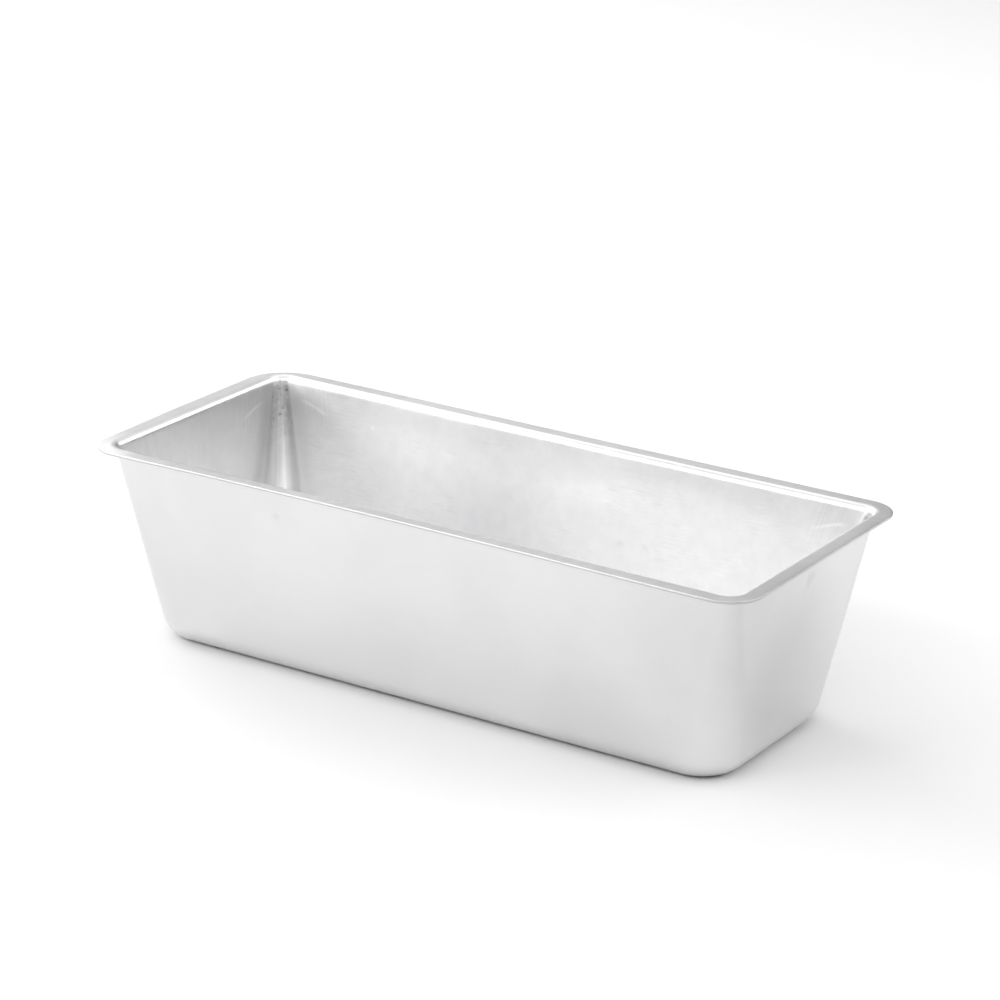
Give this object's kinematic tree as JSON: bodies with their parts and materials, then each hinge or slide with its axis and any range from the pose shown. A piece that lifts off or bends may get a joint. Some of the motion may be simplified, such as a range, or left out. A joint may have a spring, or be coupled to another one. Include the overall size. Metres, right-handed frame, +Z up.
{
  "type": "loaf pan",
  "caption": "Deep rectangular loaf pan pressed from sheet metal, with tapered walls, rounded corners and a flat out-turned rim, for baking bread, cake or terrine.",
  "frame": {"origin": "centre of the flat base, on the plane that the pan stands on", "axes": "+X along the pan's length, +Y across its width, +Z up out of the mouth"},
  "size_m": [0.3, 0.132, 0.0845],
  "materials": {
    "aluminium": "uncoated mill-finish aluminium sheet, satin, with a fine rolling grain along the length and light draw marks in the corners"
  },
  "bodies": {
    "root": {"pan_body": "aluminium"}
  },
  "joints": []
}
